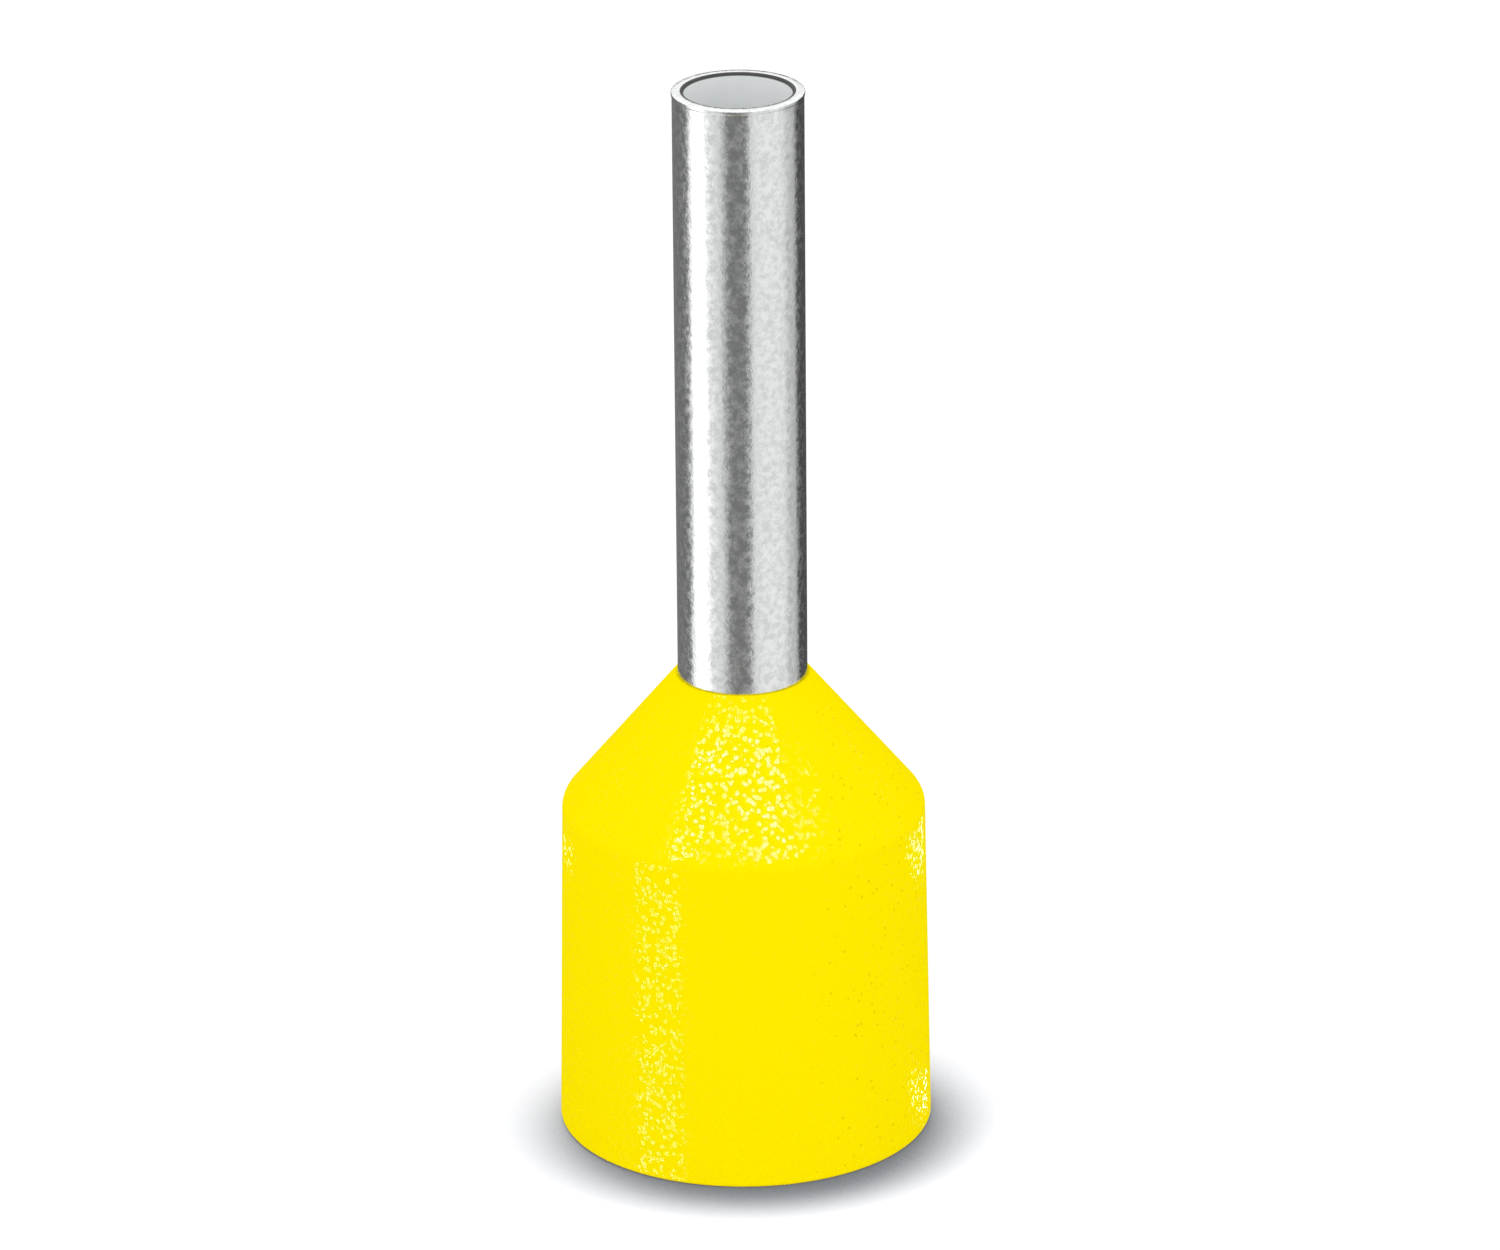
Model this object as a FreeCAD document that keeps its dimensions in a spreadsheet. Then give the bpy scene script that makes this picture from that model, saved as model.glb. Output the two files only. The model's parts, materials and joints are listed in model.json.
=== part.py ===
# Insulated wire-end sleeve: a tinned copper tube with a belled lower end, held in a moulded collar.
# Lengths are millimetres. The part stands on the collar's open mouth, with +Z up the tube, and its
# origin is the centre of the mouth. Both pieces are turned about Z, so each is one half outline,
# revolved, with its corners rounded afterwards.

import FreeCAD, Part
import math
import os
import Sketcher

# Driving dimensions: name, value, meaning
SIZES = [
    ("sleeve_bore", "1.40", "inside diameter of the tube"),
    ("sleeve_wall", "0.15", "wall of the tube, the bell included"),
    ("sleeve_length", "8.00", "bare tube, from the collar's neck to the tip"),
    ("tip_round", "0.06", "rounding of the tip, inside and outside"),
    ("bell_diameter", "2.50", "outside diameter of the bell at its rim"),
    ("bell_bend", "0.30", "bend from tube to bell, on the tube's outside"),
    ("mouth_diameter", "4.94", "outside diameter of the collar at its mouth"),
    ("shoulder_diameter", "4.78", "outside diameter of the collar below its shoulder"),
    ("body_height", "4.50", "mouth to the shoulder's lower edge"),
    ("shoulder_height", "1.82", "shoulder's lower edge to the neck"),
    ("neck_rim", "0.04", "width of the collar's edge round the tube"),
    ("body_wall", "0.32", "wall of the collar at its mouth"),
    ("shoulder_wall", "0.45", "wall of the collar between shoulder and funnel"),
    ("shoulder_round", "0.20", "rounding of the shoulder's lower edge"),
    ("funnel_round", "0.25", "rounding between the chamber and the funnel"),
    ("mouth_round", "0.06", "rounding of the mouth, inside and outside"),
    ("wall_share", "0.45", "largest share of a wall that one rounding may take"),
]

# Sizes that several outlines share, written once as expressions on the sheet
BORE_RADIUS = "Sizes.sleeve_bore / 2"
TUBE_RADIUS = "Sizes.sleeve_bore / 2 + Sizes.sleeve_wall"
NECK_RADIUS = "Sizes.sleeve_bore / 2 + Sizes.sleeve_wall + Sizes.neck_rim"
BELL_RADIUS = "Sizes.bell_diameter / 2"
BELL_COVER = "Sizes.shoulder_wall - Sizes.sleeve_wall"
SHOULDER_RADIUS = "Sizes.shoulder_diameter / 2"
MOUTH_RADIUS = "Sizes.mouth_diameter / 2"
CHAMBER_RADIUS = "Sizes.mouth_diameter / 2 - Sizes.body_wall"
NECK_HEIGHT = "Sizes.body_height + Sizes.shoulder_height"

# Sketcher's numbers for the sketch's own origin and axes, and for a line's two ends
ORIGIN = (-1, 1)
ACROSS_AXIS = -1
START = 1
END = 2

FULL_TURN = 360
ON_CIRCLE = 1e-5


def make_sheet(doc):
    """The driving dimensions, one to a row: name, value with the name as its alias, meaning."""
    sheet = doc.addObject("Spreadsheet::Sheet", "Sizes")
    for row, (name, value, meaning) in enumerate(SIZES, start=1):
        sheet.set(f"A{row}", name)
        sheet.set(f"B{row}", value)
        sheet.set(f"C{row}", meaning)
        sheet.setAlias(f"B{row}", name)
    doc.recompute()
    return sheet


def neck_radius(size):
    """Outside radius of the collar's edge round the tube."""
    return size["sleeve_bore"] / 2 + size["sleeve_wall"] + size["neck_rim"]


def shoulder_spread(size):
    """How much the shoulder widens, in radius, for each millimetre that it drops."""
    return (size["shoulder_diameter"] / 2 - neck_radius(size)) / size["shoulder_height"]


def drop_under_shoulder(size, radius, depth):
    """How far below the neck a line parallel to the shoulder, this deep under it, has this radius."""
    spread = shoulder_spread(size)
    return (radius + depth * math.hypot(1, spread) - neck_radius(size)) / spread


def bell_rim(size):
    """The bell's rim, square to its wall, as radius and drop below the neck: its outside, its inside."""
    spread = shoulder_spread(size)
    bell = size["bell_diameter"] / 2
    drop = drop_under_shoulder(size, bell, size["shoulder_wall"] - size["sleeve_wall"])
    across = size["sleeve_wall"] / math.hypot(1, spread)
    return (bell, drop), (bell - across, drop + across * spread)


def half_outline(body, name):
    """An empty sketch on the body's own XZ plane: across is the radius, up is the height."""
    sketch = body.newObject("Sketcher::SketchObject", name)
    plane = next(item for item in body.Origin.OriginFeatures if item.Role == "XZ_Plane")
    sketch.AttachmentSupport = [(plane, "")]
    sketch.MapMode = "FlatFace"
    return sketch


def draw_sides(sketch, corners):
    """Joins the corners with straight sides into a closed loop. Side n starts at corner n."""
    points = [FreeCAD.Vector(radius, height, 0) for radius, height in corners]
    first = sketch.GeometryCount
    for start, end in zip(points, points[1:] + points[:1]):
        sketch.addGeometry(Part.LineSegment(start, end), False)
    count = len(points)
    for side in range(count):
        following = first + (side + 1) % count
        sketch.addConstraint(Sketcher.Constraint("Coincident", first + side, END, following, START))


def bind(sketch, kind, ends, name, expression):
    """Adds a dimension and ties it to the sheet."""
    start_value = float(sketch.evalExpression(expression))
    index = sketch.addConstraint(Sketcher.Constraint(kind, *ends, start_value))
    sketch.renameConstraint(index, name)
    sketch.setExpression(f"Constraints.{name}", expression)


def bind_radius(sketch, side, name, expression):
    """Sets how far the start of a side lies from the part's axis."""
    bind(sketch, "DistanceX", (*ORIGIN, side, START), name, expression)


def bind_height(sketch, side, name, expression):
    """Sets how high the start of a side lies above the sketch's origin."""
    bind(sketch, "DistanceY", (*ORIGIN, side, START), name, expression)


def relate(sketch, kind, *sides):
    """Adds a relation without a size, such as Vertical or Parallel."""
    sketch.addConstraint(Sketcher.Constraint(kind, *sides))


def revolve(body, sketch, name):
    """Turns the half outline a full turn about the part's axis."""
    turned = body.newObject("PartDesign::Revolution", name)
    turned.Profile = sketch
    turned.ReferenceAxis = (sketch, ["V_Axis"])
    turned.Angle = FULL_TURN
    body.Document.recompute()
    return turned


def circle_name(shape, sketch, side):
    """The name of the edge that the start of a side drew as it went round."""
    corner = sketch.getPoint(side, START)
    for number, edge in enumerate(shape.Edges, start=1):
        if not isinstance(edge.Curve, Part.Circle):
            continue
        if abs(edge.Curve.Radius - corner.x) > ON_CIRCLE:
            continue
        if abs(edge.Curve.Center.z - corner.y) <= ON_CIRCLE:
            return f"Edge{number}"
    raise ValueError(f"{sketch.Name}: no edge where side {side} starts")


def round_corners(body, base, sketch, sides, name, expression):
    """Rounds the edges where the given sides start, with one radius tied to the sheet."""
    fillet = body.newObject("PartDesign::Fillet", name)
    fillet.Base = (base, [circle_name(base.Shape, sketch, side) for side in sides])
    fillet.setExpression("Radius", expression)
    body.Document.recompute()
    return fillet


def make_collar(doc, size):
    """The moulded collar: body, conical shoulder, neck, bell seat, funnel and chamber."""
    body = doc.addObject("PartDesign::Body", "insulating_collar")
    body.Label = "insulating_collar"
    sketch = half_outline(body, "collar_outline")

    mouth = size["mouth_diameter"] / 2
    chamber = mouth - size["body_wall"]
    tube = size["sleeve_bore"] / 2 + size["sleeve_wall"]
    neck_height = size["body_height"] + size["shoulder_height"]
    cover = size["shoulder_wall"] - size["sleeve_wall"]
    (rim_outside, outside_drop), (rim_inside, inside_drop) = bell_rim(size)
    draw_sides(
        sketch,
        [
            (mouth, 0),
            (size["shoulder_diameter"] / 2, size["body_height"]),
            (neck_radius(size), neck_height),
            (tube, neck_height),
            (tube, neck_height - drop_under_shoulder(size, tube, cover)),
            (rim_outside, neck_height - outside_drop),
            (rim_inside, neck_height - inside_drop),
            (chamber, neck_height - drop_under_shoulder(size, chamber, size["shoulder_wall"])),
            (chamber, 0),
        ],
    )
    outside, cone, edge, grip, seat, step, funnel, wall, rim = range(9)

    relate(sketch, "Horizontal", edge)
    relate(sketch, "Horizontal", rim)
    relate(sketch, "Vertical", grip)
    relate(sketch, "Vertical", wall)
    relate(sketch, "PointOnObject", outside, START, ACROSS_AXIS)
    relate(sketch, "Parallel", seat, cone)
    relate(sketch, "Parallel", funnel, cone)
    relate(sketch, "Perpendicular", step, cone)
    bind_radius(sketch, outside, "mouth_radius", MOUTH_RADIUS)
    bind_radius(sketch, cone, "shoulder_radius", SHOULDER_RADIUS)
    bind_height(sketch, cone, "body_height", "Sizes.body_height")
    bind_radius(sketch, edge, "neck_radius", NECK_RADIUS)
    bind_height(sketch, edge, "neck_height", NECK_HEIGHT)
    bind_radius(sketch, grip, "grip_radius", TUBE_RADIUS)
    bind_radius(sketch, step, "seat_radius", BELL_RADIUS)
    bind_radius(sketch, rim, "chamber_radius", CHAMBER_RADIUS)
    bind(sketch, "Distance", (seat, START, cone), "bell_cover", BELL_COVER)
    bind(sketch, "Distance", (funnel, START, cone), "shoulder_wall", "Sizes.shoulder_wall")

    solid = revolve(body, sketch, "collar_turned")
    solid = round_corners(body, solid, sketch, [cone], "shoulder_rounding", "Sizes.shoulder_round")
    solid = round_corners(body, solid, sketch, [seat], "seat_bend", "Sizes.bell_bend")
    solid = round_corners(body, solid, sketch, [wall], "funnel_rounding", "Sizes.funnel_round")
    limited = "min(Sizes.mouth_round; Sizes.wall_share * Sizes.body_wall)"
    round_corners(body, solid, sketch, [outside, rim], "mouth_rounding", limited)
    return body


def make_sleeve(doc, size):
    """The tube. Its own heights count from the collar's neck, where its Placement sets it."""
    body = doc.addObject("PartDesign::Body", "conductor_sleeve")
    body.Label = "conductor_sleeve"
    body.setExpression("Placement.Base.z", NECK_HEIGHT)
    sketch = half_outline(body, "sleeve_outline")

    bore = size["sleeve_bore"] / 2
    tube = bore + size["sleeve_wall"]
    cover = size["shoulder_wall"] - size["sleeve_wall"]
    (rim_outside, outside_drop), (rim_inside, inside_drop) = bell_rim(size)
    draw_sides(
        sketch,
        [
            (tube, size["sleeve_length"]),
            (bore, size["sleeve_length"]),
            (bore, -drop_under_shoulder(size, bore, size["shoulder_wall"])),
            (rim_inside, -inside_drop),
            (rim_outside, -outside_drop),
            (tube, -drop_under_shoulder(size, tube, cover)),
        ],
    )
    tip, inside, bell_inside, rim, bell_outside, outside = range(6)

    # The collar's shoulder, as a guide line: the bell lies parallel to it, inside the collar's wall
    cone = sketch.GeometryCount
    foot = FreeCAD.Vector(size["shoulder_diameter"] / 2, -size["shoulder_height"], 0)
    neck = FreeCAD.Vector(neck_radius(size), 0, 0)
    sketch.addGeometry(Part.LineSegment(foot, neck), True)
    bind_radius(sketch, cone, "shoulder_radius", SHOULDER_RADIUS)
    bind(sketch, "DistanceY", (cone, START, *ORIGIN), "shoulder_height", "Sizes.shoulder_height")
    bind(sketch, "DistanceX", (*ORIGIN, cone, END), "neck_radius", NECK_RADIUS)
    relate(sketch, "PointOnObject", cone, END, ACROSS_AXIS)

    relate(sketch, "Horizontal", tip)
    relate(sketch, "Vertical", inside)
    relate(sketch, "Vertical", outside)
    relate(sketch, "Parallel", bell_inside, cone)
    relate(sketch, "Parallel", bell_outside, cone)
    relate(sketch, "Perpendicular", rim, cone)
    bind_radius(sketch, tip, "tube_radius", TUBE_RADIUS)
    bind_height(sketch, tip, "sleeve_length", "Sizes.sleeve_length")
    bind_radius(sketch, inside, "bore_radius", BORE_RADIUS)
    bind_radius(sketch, bell_outside, "bell_radius", BELL_RADIUS)
    bind(sketch, "Distance", (bell_outside, START, cone), "bell_cover", BELL_COVER)
    bind(sketch, "Distance", (bell_inside, START, cone), "funnel_depth", "Sizes.shoulder_wall")

    solid = revolve(body, sketch, "sleeve_turned")
    solid = round_corners(body, solid, sketch, [outside], "outer_bend", "Sizes.bell_bend")
    inner_radius = "Sizes.bell_bend + Sizes.sleeve_wall"
    solid = round_corners(body, solid, sketch, [bell_inside], "inner_bend", inner_radius)
    limited = "min(Sizes.tip_round; Sizes.wall_share * Sizes.sleeve_wall)"
    round_corners(body, solid, sketch, [tip, inside], "tip_rounding", limited)
    return body


def check(doc, pieces):
    """Stops with a message where an object failed or a piece is not one whole solid."""
    for item in doc.Objects:
        if "Invalid" in item.State or "Error" in item.State:
            raise RuntimeError(f"{item.Label}: {item.State}")
    for piece in pieces:
        if piece.Shape.isNull() or not piece.Shape.isValid() or len(piece.Shape.Solids) != 1:
            raise RuntimeError(f"{piece.Label}: not one valid solid")


def main():
    doc = FreeCAD.newDocument("wire_end_sleeve")
    sheet = make_sheet(doc)
    size = {name: float(sheet.get(name)) for name, value, meaning in SIZES}
    pieces = [make_collar(doc, size), make_sleeve(doc, size)]
    doc.recompute()
    check(doc, pieces)

    os.makedirs("parts", exist_ok=True)
    for piece in pieces:
        piece.Shape.exportStep(f"parts/{piece.Label}.step")
        box = piece.Shape.BoundBox
        print(f"{piece.Label}: {piece.Shape.Volume:.4f} mm3, z {box.ZMin:.3f} to {box.ZMax:.3f}")
    shared = pieces[0].Shape.common(pieces[1].Shape).Volume
    gap = pieces[0].Shape.distToShape(pieces[1].Shape)[0]
    print(f"sleeve in collar: shared volume {shared:.6f} mm3, gap {gap:.6f} mm")


main()
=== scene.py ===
"""The looks of an insulated wire-end sleeve: a yellow moulded collar on a belled sleeve of tinned copper."""

import json
import math

import bmesh
import bpy
from mathutils import Matrix, Vector


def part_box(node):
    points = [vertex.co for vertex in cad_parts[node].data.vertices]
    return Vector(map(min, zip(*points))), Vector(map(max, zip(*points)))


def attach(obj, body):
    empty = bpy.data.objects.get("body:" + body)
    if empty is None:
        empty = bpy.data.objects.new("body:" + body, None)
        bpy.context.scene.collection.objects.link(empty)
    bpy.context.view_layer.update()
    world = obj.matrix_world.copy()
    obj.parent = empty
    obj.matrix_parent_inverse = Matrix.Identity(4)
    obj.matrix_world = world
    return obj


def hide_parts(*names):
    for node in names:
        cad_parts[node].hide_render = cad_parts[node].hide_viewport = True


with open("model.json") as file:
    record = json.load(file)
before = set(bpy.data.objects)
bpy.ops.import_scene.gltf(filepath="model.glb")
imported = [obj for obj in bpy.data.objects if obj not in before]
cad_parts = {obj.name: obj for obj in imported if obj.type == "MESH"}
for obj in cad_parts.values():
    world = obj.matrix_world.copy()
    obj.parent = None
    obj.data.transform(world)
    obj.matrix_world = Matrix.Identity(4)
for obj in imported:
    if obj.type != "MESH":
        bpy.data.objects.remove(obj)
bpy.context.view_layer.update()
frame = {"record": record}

# Lengths are in millimetres until a mesh, a lamp or the camera is placed
MM = 0.001
PER_MM = 1 / MM

# The camera looks at a point on the sleeve's axis, from in front and above. Its angles are in degrees, and
# the last three turn it by the little that the photograph's view is off that point.
PICTURE_WIDTH = 1500
FOCAL_PIXELS = 9000
SENSOR_WIDTH = 36.0
CAMERA_DISTANCE = 117.699
CAMERA_AIM_HEIGHT = 6.8
CAMERA_ELEVATION = 21.888
CAMERA_YAW = 0.0496
CAMERA_PITCH = 0.0728
CAMERA_ROLL = -0.4633
CLIP_NEAR = 10
CLIP_FAR = 10000

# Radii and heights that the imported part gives
radius_of = {mount["name"]: mount["dims"].get("r_mm") for mount in frame["record"]["mounts"]}
sleeve_low, sleeve_high = (corner * PER_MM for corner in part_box("conductor_sleeve"))
collar_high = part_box("insulating_collar")[1] * PER_MM
BORE_RADIUS = radius_of["conductor_bore"]
TUBE_RADIUS = radius_of["sleeve_pin"]
CHAMBER_RADIUS = radius_of["insulation_bore"]
TIP_HEIGHT = sleeve_high.z
BELL_RADIUS = sleeve_high.x
BELL_FOOT = sleeve_low.z
MOUTH_RADIUS = collar_high.x
NECK_HEIGHT = collar_high.z

# Sizes that repeat the part's own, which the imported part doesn't state
SHOULDER_RADIUS = 2.39
SHOULDER_HEIGHT = 1.82
NECK_RIM = 0.04
SHOULDER_ROUND = 0.20
FUNNEL_ROUND = 0.25
MOUTH_ROUND = 0.06
BELL_BEND = 0.30

# The cut end of the sleeve: a burr that stands out a little, a slightly crowned rim whose top is a wide
# round, and a broken bore edge
BURR = 0.010
BURR_HEIGHT = 0.05
BURR_ROUND = 0.012
RIM_CROWN = 0.008
RIM_ROUND = 0.3
BORE_BREAK = 0.03

# The dark line of painted shade round the mouth of the bore: how wide it is on the rim, how far down the
# bore it starts to show and how far down it is full
SHADE_LINE_WIDTH = 0.045
SHADE_LINE_STARTS = 0.05
SHADE_LINE_FULL = 0.03

# How finely a round outline and a full turn are divided, and how near two points are merged into one
ARC_STEPS = 10
TURN_STEPS = 192
MERGE_DISTANCE = 1e-5

# Heights, radii and leans that follow from those above; the leans are in radians
WALL = TUBE_RADIUS - BORE_RADIUS
NECK_RADIUS = TUBE_RADIUS + NECK_RIM
SHOULDER_FOOT = NECK_HEIGHT - SHOULDER_HEIGHT
SPREAD = (SHOULDER_RADIUS - NECK_RADIUS) / SHOULDER_HEIGHT
SHOULDER_LEAN = math.atan(SPREAD)
SKIRT_LEAN = math.atan((MOUTH_RADIUS - SHOULDER_RADIUS) / SHOULDER_FOOT)
RIM_OUTER_HEIGHT = BELL_FOOT + WALL * math.sin(SHOULDER_LEAN)
RIM_INNER_RADIUS = BELL_RADIUS - WALL * math.cos(SHOULDER_LEAN)
BEND_HEIGHT = RIM_OUTER_HEIGHT + (BELL_RADIUS - TUBE_RADIUS) / SPREAD
BORE_BEND_HEIGHT = BELL_FOOT + (RIM_INNER_RADIUS - BORE_RADIUS) / SPREAD
FUNNEL_FOOT = BELL_FOOT - (CHAMBER_RADIUS - RIM_INNER_RADIUS) / SPREAD


def compass_way(azimuth, elevation=0.0):
    """A direction by compass angle, from the camera's side towards +X, and by elevation, in degrees."""
    turn, rise = math.radians(azimuth), math.radians(elevation)
    return Vector((math.sin(turn) * math.cos(rise), -math.cos(turn) * math.cos(rise), math.sin(rise)))


def camera_place():
    """Where the camera stands, in millimetres."""
    return Vector((0, 0, CAMERA_AIM_HEIGHT)) + compass_way(0, CAMERA_ELEVATION) * CAMERA_DISTANCE


def camera():
    """The camera of the photograph: a long lens, a little above the object."""
    made = bpy.data.objects.new("camera", bpy.data.cameras.new("camera"))
    bpy.context.scene.collection.objects.link(made)
    made.data.sensor_width = SENSOR_WIDTH
    made.data.lens = SENSOR_WIDTH * FOCAL_PIXELS / PICTURE_WIDTH
    made.data.clip_start = CLIP_NEAR * MM
    made.data.clip_end = CLIP_FAR * MM
    turn = Matrix.Rotation(math.radians(90 - CAMERA_ELEVATION), 4, "X")
    turn @= Matrix.Rotation(math.radians(-CAMERA_YAW), 4, "Y")
    turn @= Matrix.Rotation(math.radians(CAMERA_PITCH), 4, "X")
    turn @= Matrix.Rotation(math.radians(CAMERA_ROLL), 4, "Z")
    made.matrix_world = Matrix.Translation(camera_place() * MM) @ turn
    bpy.context.scene.camera = made


def feed(tree, node, inputs):
    """Set each named input of a node to a number, vector or colour, or link it from a node's socket."""
    for key, value in inputs.items():
        socket = node.inputs[key]
        if isinstance(value, bpy.types.NodeSocket):
            tree.links.new(value, socket)
        elif socket.type == "RGBA":
            socket.default_value = (*value, 1)
        else:
            socket.default_value = value


def add(tree, kind, inputs=None, **settings):
    """A new node with its settings and inputs."""
    made = tree.nodes.new(kind)
    for name, value in settings.items():
        setattr(made, name, value)
    feed(tree, made, inputs or {})
    return made


def ramp(tree, value, low, high, at_low=0.0, at_high=1.0, shape="SMOOTHSTEP"):
    """A socket that goes from at_low to at_high, smoothly unless told, while value goes from low to high."""
    inputs = {"Value": value, "From Min": low, "From Max": high, "To Min": at_low, "To Max": at_high}
    return add(tree, "ShaderNodeMapRange", inputs, interpolation_type=shape).outputs["Result"]


def blend(tree, share, at_zero, at_one, kind="RGBA"):
    """A colour, or a number where kind is FLOAT, that goes from at_zero to at_one with share."""
    mixed = add(tree, "ShaderNodeMix", data_type=kind)
    keys = [key for key, socket in enumerate(mixed.inputs) if socket.enabled]
    feed(tree, mixed, dict(zip(keys, (share, at_zero, at_one))))
    return next(socket for socket in mixed.outputs if socket.enabled)


def reckon(tree, operation, first, second):
    """What an operation makes of two sockets or numbers."""
    return add(tree, "ShaderNodeMath", {0: first, 1: second}, operation=operation).outputs["Value"]


def along(tree, place, axis):
    """One coordinate of a place or a direction."""
    return add(tree, "ShaderNodeSeparateXYZ", {0: place}).outputs[axis]


def noise(tree, place, size, detail=2.0, roughness=0.5):
    """A socket of cloudy noise from 0 to 1 whose blotches are about size millimetres across."""
    inputs = {"Vector": place, "Scale": 1 / size, "Detail": detail, "Roughness": roughness}
    return add(tree, "ShaderNodeTexNoise", inputs).outputs["Fac"]


def from_middle(tree, place, spacing):
    """How far it is to the nearest of scattered points, spacing millimetres apart; 1 is a whole spacing."""
    return add(tree, "ShaderNodeTexVoronoi", {"Vector": place, "Scale": 1 / spacing}).outputs["Distance"]


def bump(tree, height, depth):
    """A normal that makes height, from 0 to 1, stand depth millimetres proud."""
    return add(tree, "ShaderNodeBump", {"Height": height, "Distance": depth * MM}).outputs["Normal"]


def new_material(name):
    """A material, its node tree, its surface shader and the object's own coordinates in millimetres."""
    made = bpy.data.materials.new(name)
    made.use_nodes = True
    tree = made.node_tree
    shader = tree.nodes["Principled BSDF"]
    own = add(tree, "ShaderNodeTexCoord").outputs["Object"]
    place = add(tree, "ShaderNodeMapping", {"Vector": own, "Scale": (PER_MM, PER_MM, PER_MM)})
    return made, tree, shader, place.outputs["Vector"]


# The ranges that a soft cloud of noise and a finer mottle of it mostly keep to
CLOUD = (0.3, 0.7)
MOTTLE = (0.35, 0.65)

# The plastic's own colour, and its roughness where the cloud is low and where it is high
YELLOW = (0.985, 0.812, 0.0)
MATT = (0.60, 0.45)

# Its shiny grains: how far apart, how much the cloud frays them, how far from its middle a grain starts to
# fade and is gone in spacings, how shiny, rough and high it is, and how much it bends light
GRAIN_SPACING = 0.08
GRAIN_FRAY = 0.6
GRAIN_EDGE = (0.62, 0.76)
GRAIN_SHINE = 0.2
GRAIN_ROUGHNESS = 0.12
GRAIN_HEIGHT = 0.0012
GRAIN_GLOSS = 1.25

# How far below the neck's top the grains start to fade, and the share of their shine that is left there
NECK_FADE = 0.7
NECK_SHARE = 0.2

# Its pits, real hollows whose darkness is painted shade: how far apart, how large and how wide at the bottom
# in spacings, the colour of that painted shade, and how far to the right along X it starts and is full
PIT_SPACING = 0.15
PIT_SIZE = 0.17
PIT_BOTTOM = 0.5 * PIT_SIZE
PIT_SHADE_YELLOW = (0.80, 0.64, 0.0)
PIT_SHADE_SIDE = (0.3, 1.3)


def moulded_yellow():
    """Spark-eroded yellow plastic: dull, with shiny grains that fade near the neck, and painted shade in a
    few pits towards the right side.
    """
    made, tree, shader, place = new_material("yellow_grained_plastic")
    cloud = noise(tree, place, GRAIN_SPACING / 2, detail=1.0)
    frayed = reckon(tree, "MULTIPLY", cloud, GRAIN_FRAY)
    away = reckon(tree, "ADD", frayed, from_middle(tree, place, GRAIN_SPACING))
    grain = ramp(tree, away, *GRAIN_EDGE, 1.0, 0.0)
    shine = ramp(tree, along(tree, place, "Z"), NECK_HEIGHT - NECK_FADE, NECK_HEIGHT,
                 GRAIN_SHINE, NECK_SHARE * GRAIN_SHINE)
    # Painted shade in the pits, only towards the right side along X
    shade_spared = ramp(tree, along(tree, place, "X"), *PIT_SHADE_SIDE, PIT_SIZE, 0.0)
    clear = reckon(tree, "ADD", from_middle(tree, place, PIT_SPACING), shade_spared)
    pit_unshaded = ramp(tree, clear, PIT_BOTTOM, PIT_SIZE)
    feed(tree, shader, {
        "Base Color": blend(tree, pit_unshaded, PIT_SHADE_YELLOW, YELLOW),
        "Roughness": ramp(tree, cloud, *CLOUD, *MATT),
        "Specular IOR Level": 0.0,
        "Coat Weight": reckon(tree, "MULTIPLY", grain, shine),
        "Coat Roughness": GRAIN_ROUGHNESS,
        "Coat IOR": GRAIN_GLOSS,
        "Normal": bump(tree, grain, GRAIN_HEIGHT),
    })
    return made


# The same plastic inside the collar: the size of its clouds and the colour and roughness they give, and
# the size and depth of its fine unevenness
INNER_CLOUD = 0.5
INNER_YELLOW = (0.95, 0.78, 0.0)
INNER_ROUGHNESS = (0.30, 0.42)
INNER_GRAIN = 0.12
INNER_DEPTH = 0.001


def smooth_yellow():
    """The same plastic inside the collar, where the core pin leaves it smoother."""
    made, tree, shader, place = new_material("yellow_smooth_plastic")
    cloud = noise(tree, place, INNER_CLOUD)
    feed(tree, shader, {
        "Base Color": blend(tree, cloud, INNER_YELLOW, YELLOW),
        "Roughness": ramp(tree, cloud, *CLOUD, *INNER_ROUGHNESS),
        "Specular IOR Level": 0.0,
        "Normal": bump(tree, noise(tree, place, INNER_GRAIN), INNER_DEPTH),
    })
    return made


# Tin on the tube: the size and depth of its mottles, and its greys and roughness from low to high mottle
MOTTLE_SIZE = 0.09
MOTTLE_DEPTH = 0.004
TIN_GREYS = ((0.66, 0.67, 0.67), (0.84, 0.85, 0.85))
TIN_ROUGHNESS = (0.16, 0.29)

# Its draw lines: how wide they are, how much slower they change along the tube, and their share in the
# unevenness
DRAW_WIDTH = 0.05
DRAW_SLOWNESS = 0.02
DRAW_SHARE = 0.15


def bright_tin():
    """Tin plating on the drawn tube: mirror-like with matt mottles, and faint draw lines along it."""
    made, tree, shader, place = new_material("bright_tin")
    mottle = noise(tree, place, MOTTLE_SIZE, detail=3.0, roughness=0.65)
    drawn = add(tree, "ShaderNodeMapping", {"Vector": place, "Scale": (1.0, 1.0, DRAW_SLOWNESS)})
    lines = noise(tree, drawn.outputs["Vector"], DRAW_WIDTH)
    height = reckon(tree, "ADD", reckon(tree, "MULTIPLY", lines, DRAW_SHARE), mottle)
    feed(tree, shader, {
        "Base Color": blend(tree, ramp(tree, mottle, *MOTTLE), *TIN_GREYS),
        "Metallic": 1.0,
        "Roughness": ramp(tree, mottle, *MOTTLE, *TIN_ROUGHNESS),
        "Normal": bump(tree, height, MOTTLE_DEPTH),
    })
    return made


# Matt tin in the bore: the size of its clouds, the greys and roughness they give, how metallic it is, and
# the grey of the painted shade line at its edge
BORE_CLOUD = 0.3
BORE_GREYS = ((0.84, 0.86, 0.86), (0.90, 0.92, 0.92))
BORE_ROUGHNESS = (0.55, 0.75)
BORE_METAL = 0.2
SHADE_LINE_GREY = (0.05, 0.05, 0.05)


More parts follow.
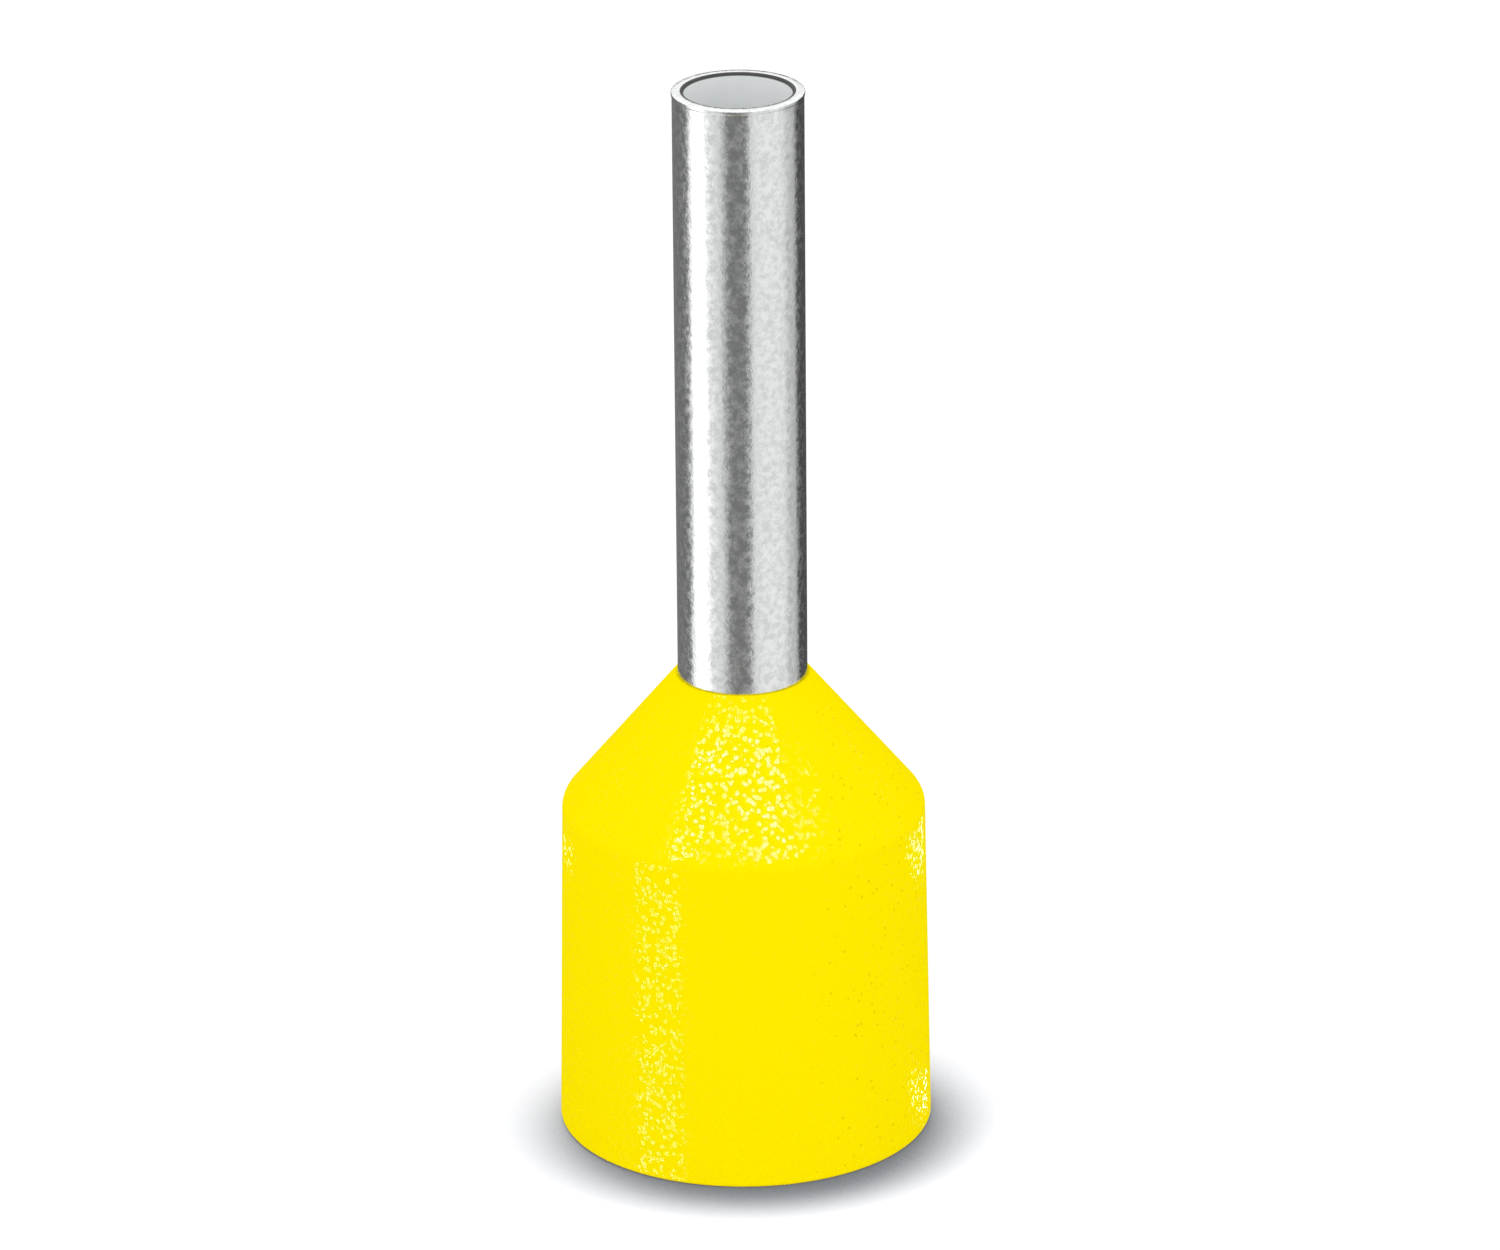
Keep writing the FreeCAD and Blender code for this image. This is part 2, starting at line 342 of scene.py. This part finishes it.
def dull_tin():
    """The bore of the tube, where the tin is matt, with a dark line of painted shade round its mouth."""
    made, tree, shader, place = new_material("dull_tin")
    cloud = noise(tree, place, BORE_CLOUD)
    # Painted shade: the top of the bore and the rim's inner edge are darkened in colour
    painted_shade_at_mouth = ramp(tree, along(tree, place, "Z"), TIP_HEIGHT - SHADE_LINE_STARTS, TIP_HEIGHT - SHADE_LINE_FULL)
    feed(tree, shader, {
        "Base Color": blend(tree, painted_shade_at_mouth, blend(tree, cloud, *BORE_GREYS), SHADE_LINE_GREY),
        "Metallic": BORE_METAL,
        "Roughness": ramp(tree, cloud, *CLOUD, *BORE_ROUGHNESS),
    })
    return made


def outline(points):
    """A bmesh that holds a closed outline in the XZ plane; each point is a radius, a height and a round."""
    mesh = bmesh.new()
    corners = [mesh.verts.new((radius, 0, height)) for radius, height, _ in points]
    for first, second in zip(corners, corners[1:] + corners[:1]):
        mesh.edges.new((first, second))
    mesh.verts.ensure_lookup_table()
    for place, corner in enumerate(corners):
        round_radius = points[place][2]
        if round_radius:
            here = Vector(points[place][:2])
            before = Vector(points[place - 1][:2]) - here
            after = Vector(points[(place + 1) % len(points)][:2]) - here
            setback = round_radius / math.tan(before.angle(after) / 2)
            bmesh.ops.bevel(mesh, geom=[corner], offset=setback, offset_type="OFFSET", segments=ARC_STEPS,
                            profile=0.5, affect="VERTICES", material=-1)
    return mesh


def piece_of(name, mesh, materials):
    """An object of a bmesh in metres, with its materials."""
    data = bpy.data.meshes.new(name)
    mesh.to_mesh(data)
    mesh.free()
    for material in materials:
        data.materials.append(material)
    piece = bpy.data.objects.new(name, data)
    bpy.context.scene.collection.objects.link(piece)
    return piece


def turned(name, points, materials, is_inner):
    """A closed ring turned from an outline; is_inner says by radius and height where material 1 goes."""
    mesh = outline(points)
    bmesh.ops.spin(mesh, geom=mesh.verts[:] + mesh.edges[:], cent=(0, 0, 0), axis=(0, 0, 1),
                   angle=2 * math.pi, steps=TURN_STEPS, use_merge=True, use_duplicate=False)
    bmesh.ops.remove_doubles(mesh, verts=mesh.verts, dist=MERGE_DISTANCE)
    bmesh.ops.recalc_face_normals(mesh, faces=mesh.faces)
    for face in mesh.faces:
        face.smooth = True
        middle = face.calc_center_median()
        face.material_index = int(is_inner(math.hypot(middle.x, middle.y), middle.z))
    bmesh.ops.scale(mesh, vec=(MM, MM, MM), verts=mesh.verts)
    return piece_of(name, mesh, materials)


def tinned_sleeve():
    """The tube, with a burr round its cut end and a bell at its foot."""
    rim_middle = (TUBE_RADIUS + BURR + BORE_RADIUS) / 2
    points = [
        (BELL_RADIUS, RIM_OUTER_HEIGHT, 0),
        (TUBE_RADIUS, BEND_HEIGHT, BELL_BEND),
        (TUBE_RADIUS, TIP_HEIGHT - BURR_HEIGHT - BURR, BURR_ROUND),
        (TUBE_RADIUS + BURR, TIP_HEIGHT - BURR_HEIGHT, BURR_ROUND / 2),
        (TUBE_RADIUS + BURR, TIP_HEIGHT - RIM_CROWN, BURR_ROUND),
        (rim_middle, TIP_HEIGHT, RIM_ROUND),
        (BORE_RADIUS + SHADE_LINE_WIDTH, TIP_HEIGHT - RIM_CROWN / 2, 0),
        (BORE_RADIUS, TIP_HEIGHT - RIM_CROWN, BORE_BREAK),
        (BORE_RADIUS, BORE_BEND_HEIGHT, BELL_BEND + WALL),
        (RIM_INNER_RADIUS, BELL_FOOT, 0),
    ]

    # The rim's inner ring, as wide as the painted shade line, takes the bore's material and its painted
    # shade
    def in_bore(radius, _):
        return radius < BORE_RADIUS + SHADE_LINE_WIDTH

    piece = turned("tinned_sleeve", points, [bright_tin(), dull_tin()], in_bore)
    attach(piece, "root")
    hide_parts("conductor_sleeve")
    return piece


# How far inside the tube's outline the line between grained and smooth plastic starts, at the neck's top
SEAM_INSET = 0.01


def yellow_collar():
    """The collar: a round skirt and a coned shoulder, with the seat and the funnel inside."""
    points = [
        (MOUTH_RADIUS, 0, MOUTH_ROUND),
        (SHOULDER_RADIUS, SHOULDER_FOOT, SHOULDER_ROUND),
        (NECK_RADIUS, NECK_HEIGHT, NECK_RIM / 2),
        (TUBE_RADIUS, NECK_HEIGHT, 0),
        (TUBE_RADIUS, BEND_HEIGHT, BELL_BEND),
        (BELL_RADIUS, RIM_OUTER_HEIGHT, 0),
        (RIM_INNER_RADIUS, BELL_FOOT, 0),
        (CHAMBER_RADIUS, FUNNEL_FOOT, FUNNEL_ROUND),
        (CHAMBER_RADIUS, 0, MOUTH_ROUND),
    ]

    def in_chamber(radius, height):
        inside_skirt = radius < CHAMBER_RADIUS + MOUTH_ROUND / 2 and height < FUNNEL_FOOT
        seam = TUBE_RADIUS + (NECK_HEIGHT - height) * SPREAD - SEAM_INSET
        return inside_skirt or radius < min(seam, CHAMBER_RADIUS)

    piece = turned("yellow_collar", points, [moulded_yellow(), smooth_yellow()], in_chamber)
    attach(piece, "root")
    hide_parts("insulating_collar")
    return piece


# The table's contact shadow: how far round a point things darken it, which way the light leans, the share
# of open sky where the shadow is full and where it ends, and its colours there
SHADOW_REACH = 1.0
SHADOW_LEAN = (-0.18, 0.70, 0.69)
SHADOW_SKY = (0.46, 0.98)
SHADOW_DARK = (0.058, 0.068, 0.090)
SHADOW_NONE = (0.90, 0.90, 0.90)

# What the lamps add to the table as the camera sees it, and the white by which it lights the object
TABLE_TINT = (0.135, 0.145, 0.20)
TABLE_WHITE = (0.85, 0.85, 0.85)
TABLE_HALF = 400.0


def table_white():
    """A white table: as bright as the background to the camera, with the object's shadow kept on it."""
    material = bpy.data.materials.new("white_table")
    material.use_nodes = True
    tree = material.node_tree
    tree.nodes.clear()
    lean = add(tree, "ShaderNodeCombineXYZ", dict(zip("XYZ", SHADOW_LEAN))).outputs["Vector"]
    inputs = {"Distance": SHADOW_REACH * MM, "Normal": lean}
    near = add(tree, "ShaderNodeAmbientOcclusion", inputs, samples=8)
    level = ramp(tree, near.outputs["AO"], *SHADOW_SKY, shape="LINEAR")
    glow = add(tree, "ShaderNodeEmission", {"Color": blend(tree, level, SHADOW_DARK, SHADOW_NONE)})
    tint = add(tree, "ShaderNodeBsdfDiffuse", {"Color": TABLE_TINT})
    seen = add(tree, "ShaderNodeAddShader", {0: glow.outputs[0], 1: tint.outputs[0]})
    plain = add(tree, "ShaderNodeBsdfDiffuse", {"Color": TABLE_WHITE})
    to_camera = add(tree, "ShaderNodeLightPath").outputs["Is Camera Ray"]
    chosen = add(tree, "ShaderNodeMixShader", {0: to_camera, 1: plain.outputs[0], 2: seen.outputs[0]})
    add(tree, "ShaderNodeOutputMaterial", {"Surface": chosen.outputs[0]})
    return material


def white_floor():
    """The table that the object stands on, which polished metal doesn't mirror."""
    mesh = bmesh.new()
    bmesh.ops.create_grid(mesh, x_segments=1, y_segments=1, size=TABLE_HALF * MM)
    floor = piece_of("floor", mesh, [table_white()])
    floor.visible_glossy = False


# What the polished tube mirrors round and below it: for each panel of the light tent, the compass
# direction in degrees where it ends, counted from the camera's side towards +X, how many degrees it
# takes to fade into the next, and its brightness
TENT_PANELS = [
    (-96, 14, 0.20),
    (-60, 10, 1.70),
    (-27, 16, 0.90),
    (18, 5, 0.24),
    (88, 6, 0.97),
    (116, 6, 0.65),
    (180, 0, 0.08),
]

# What it mirrors from above: the brightness, and the elevations in degrees where that starts and is full
TENT_TOP = 1.3
TOP_STARTS = 10.0
TOP_FULL = 16.0


def tent_pattern(tree):
    """Brightness by compass direction round and below the object, and even white overhead."""
    direction = add(tree, "ShaderNodeTexCoord").outputs["Generated"]
    towards = reckon(tree, "MULTIPLY", along(tree, direction, "Y"), -1.0)
    compass = reckon(tree, "ARCTAN2", along(tree, direction, "X"), towards)
    level = TENT_PANELS[0][2]
    for (end, fade, this), (_, _, following) in zip(TENT_PANELS, TENT_PANELS[1:]):
        start, stop = math.radians(end - fade / 2), math.radians(end + fade / 2)
        level = reckon(tree, "ADD", level, ramp(tree, compass, start, stop, 0.0, following - this))
    top = [math.sin(math.radians(angle)) for angle in (TOP_STARTS, TOP_FULL)]
    above = ramp(tree, along(tree, direction, "Z"), *top)
    return blend(tree, above, level, TENT_TOP, kind="FLOAT")


def light_tent():
    """The world: even soft light, white to the camera, and the tent's panels to polished metal."""
    world = bpy.data.worlds.new("light_tent")
    world.use_nodes = True
    bpy.context.scene.world = world
    tree = world.node_tree
    to_gloss = add(tree, "ShaderNodeLightPath").outputs["Is Glossy Ray"]
    strength = blend(tree, to_gloss, 1.0, tent_pattern(tree), kind="FLOAT")
    feed(tree, tree.nodes["Background"], {"Color": (1, 1, 1), "Strength": strength})


def lamp(name, place, aim, size, radiance):
    """A rectangular lamp at a place that faces another; the camera doesn't see it itself."""
    data = bpy.data.lights.new(name, "AREA")
    data.shape = "RECTANGLE"
    data.size, data.size_y = size[0] * MM, size[1] * MM
    data.energy = radiance * math.pi * data.size * data.size_y
    made = bpy.data.objects.new(name, data)
    bpy.context.scene.collection.objects.link(made)
    made.location = place * MM
    made.rotation_mode = "QUATERNION"
    made.rotation_quaternion = (place - aim).to_track_quat("Z", "Y")
    made.visible_camera = False
    return made


def glint(name, place, aim, size, radiance, collar):
    """A lamp that only the collar's gloss sees, even from under the table's level."""
    made = lamp(name, place, aim, size, radiance)
    made.visible_diffuse = False
    lit = bpy.data.collections.new(name + "_lights")
    lit.objects.link(collar)
    made.light_linking.receiver_collection = lit
    made.light_linking.blocker_collection = lit


def mirrored_glint(name, azimuth, height, distance, size, radiance, collar):
    """A glint that the camera sees mirrored in the collar at that compass angle and height."""
    radius = SHOULDER_RADIUS - max(height - SHOULDER_FOOT, 0) * SPREAD
    lean = SHOULDER_LEAN if height > SHOULDER_FOOT else SKIRT_LEAN
    outward = compass_way(azimuth, math.degrees(lean))
    spot = compass_way(azimuth) * radius + Vector((0, 0, height))
    to_camera = (camera_place() - spot).normalized()
    way = 2 * to_camera.dot(outward) * outward - to_camera
    glint(name, spot + way * distance, spot, size, radiance, collar)


# The soft lamps: for each, its name, its compass direction and elevation in degrees, its width and height,
# and its brightness
SOFT_LAMPS = [
    ("key_light", -30, 40, (60, 60), 1.0),
    ("fill_light", 45, 10, (80, 60), 0.5),
]
SOFT_DISTANCE = 125
OVERHEAD_DISTANCE = 65

# The glints in the collar: for each, its name, the compass direction and the height where it shows, how
# far off its lamp is, that lamp's width and height, and its brightness
COLLAR_GLINTS = [
    ("right_crease_glint", 24, SHOULDER_FOOT + 0.22, 12, (7, 0.7), 60),
    ("strip_glint", -28, SHOULDER_FOOT / 2, 60, (31, 50), 40),
    ("right_shoulder_glint", 70, SHOULDER_FOOT - 0.35, 12, (7, 0.7), 20),
    ("right_base_glint", 70, 0.3, 12, (7, 0.5), 27),
    ("left_shoulder_glint", -74, SHOULDER_FOOT - 0.4, 12, (5, 0.4), 9),
]


def studio(collar):
    """The lamps: soft key and fill lights, and the glints that show the collar's grain."""
    middle = Vector((0, 0, NECK_HEIGHT / 2))
    for name, azimuth, elevation, size, radiance in SOFT_LAMPS:
        soft = lamp(name, middle + compass_way(azimuth, elevation) * SOFT_DISTANCE, middle, size, radiance)
        soft.visible_glossy = False
    overhead = middle + compass_way(azimuth=-10, elevation=64) * OVERHEAD_DISTANCE
    glint("overhead_glint", overhead, middle, size=(80, 24), radiance=130, collar=collar)
    for name, azimuth, height, distance, size, radiance in COLLAR_GLINTS:
        mirrored_glint(name, azimuth, height, distance, size, radiance, collar)


camera()
tinned_sleeve()
studio(yellow_collar())
white_floor()
light_tent()
bpy.context.scene.view_settings.view_transform = "Standard"
